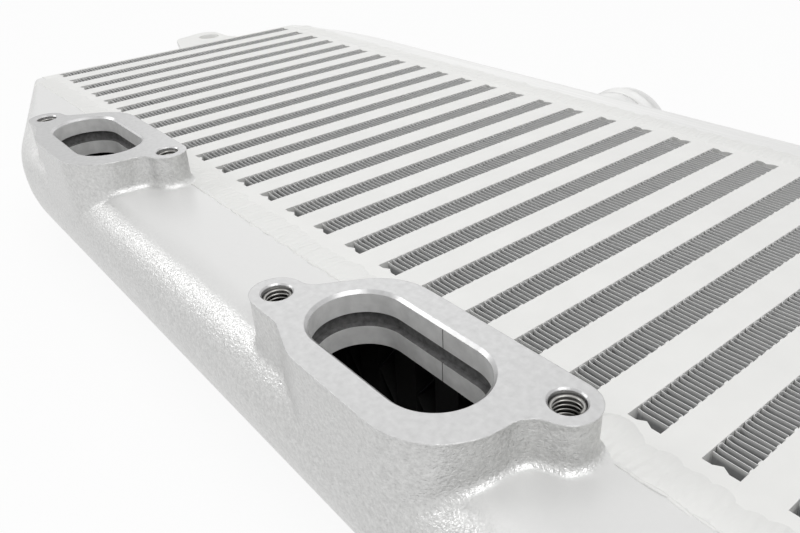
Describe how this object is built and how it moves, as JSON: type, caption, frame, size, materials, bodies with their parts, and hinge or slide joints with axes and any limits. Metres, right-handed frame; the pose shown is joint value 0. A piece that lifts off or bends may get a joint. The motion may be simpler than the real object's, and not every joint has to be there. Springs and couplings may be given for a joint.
{
  "type": "intercooler",
  "caption": "Bar-and-plate top-mount intercooler with cast aluminium end tanks, oval flanged inlet ports and a round outlet neck",
  "frame": {"origin": "middle of the core's underside", "axes": "+X along the stack of rows towards the tanks' square end, +Y from the inlet tank to the outlet neck, +Z out of the port flanges"},
  "size_m": [0.5674, 0.2884, 0.078],
  "materials": {
    "core_aluminium": "brazed, matte and pale",
    "fin_aluminium": "thin folded sheet, satin",
    "cast_aluminium": "sand cast, fine grain, flange faces machined",
    "insert_steel": "drawn stainless wire"
  },
  "bodies": {
    "root": {"ambient_fin_01": "fin_aluminium", "ambient_fin_02": "fin_aluminium", "ambient_fin_03": "fin_aluminium", "ambient_fin_04": "fin_aluminium", "ambient_fin_05": "fin_aluminium", "ambient_fin_06": "fin_aluminium", "ambient_fin_07": "fin_aluminium", "ambient_fin_08": "fin_aluminium", "ambient_fin_09": "fin_aluminium", "ambient_fin_10": "fin_aluminium", "ambient_fin_11": "fin_aluminium", "ambient_fin_12": "fin_aluminium", "ambient_fin_13": "fin_aluminium", "ambient_fin_14": "fin_aluminium", "ambient_fin_15": "fin_aluminium", "ambient_fin_16": "fin_aluminium", "ambient_fin_17": "fin_aluminium", "ambient_fin_18": "fin_aluminium", "ambient_fin_19": "fin_aluminium", "ambient_fin_20": "fin_aluminium", "ambient_fin_21": "fin_aluminium", "ambient_fin_22": "fin_aluminium", "ambient_fin_23": "fin_aluminium", "ambient_fin_24": "fin_aluminium", "ambient_fin_25": "fin_aluminium", "ambient_fin_26": "fin_aluminium", "ambient_fin_27": "fin_aluminium", "charge_tube_01": "core_aluminium", "charge_tube_02": "core_aluminium", "charge_tube_03": "core_aluminium", "charge_tube_04": "core_aluminium", "charge_tube_05": "core_aluminium", "charge_tube_06": "core_aluminium", "charge_tube_07": "core_aluminium", "charge_tube_08": "core_aluminium", "charge_tube_09": "core_aluminium", "charge_tube_10": "core_aluminium", "charge_tube_11": "core_aluminium", "charge_tube_12": "core_aluminium", "charge_tube_13": "core_aluminium", "charge_tube_14": "core_aluminium", "charge_tube_15": "core_aluminium", "charge_tube_16": "core_aluminium", "charge_tube_17": "core_aluminium", "charge_tube_18": "core_aluminium", "charge_tube_19": "core_aluminium", "charge_tube_20": "core_aluminium", "charge_tube_21": "core_aluminium", "charge_tube_22": "core_aluminium", "charge_tube_23": "core_aluminium", "charge_tube_24": "core_aluminium", "charge_tube_25": "core_aluminium", "charge_tube_26": "core_aluminium", "side_plate_left": "core_aluminium", "side_plate_right": "core_aluminium", "inlet_tank": "cast_aluminium", "outlet_tank": "cast_aluminium", "mounting_tab": "core_aluminium", "thread_inserts": "insert_steel", "turbulators": "fin_aluminium"}
  },
  "joints": []
}
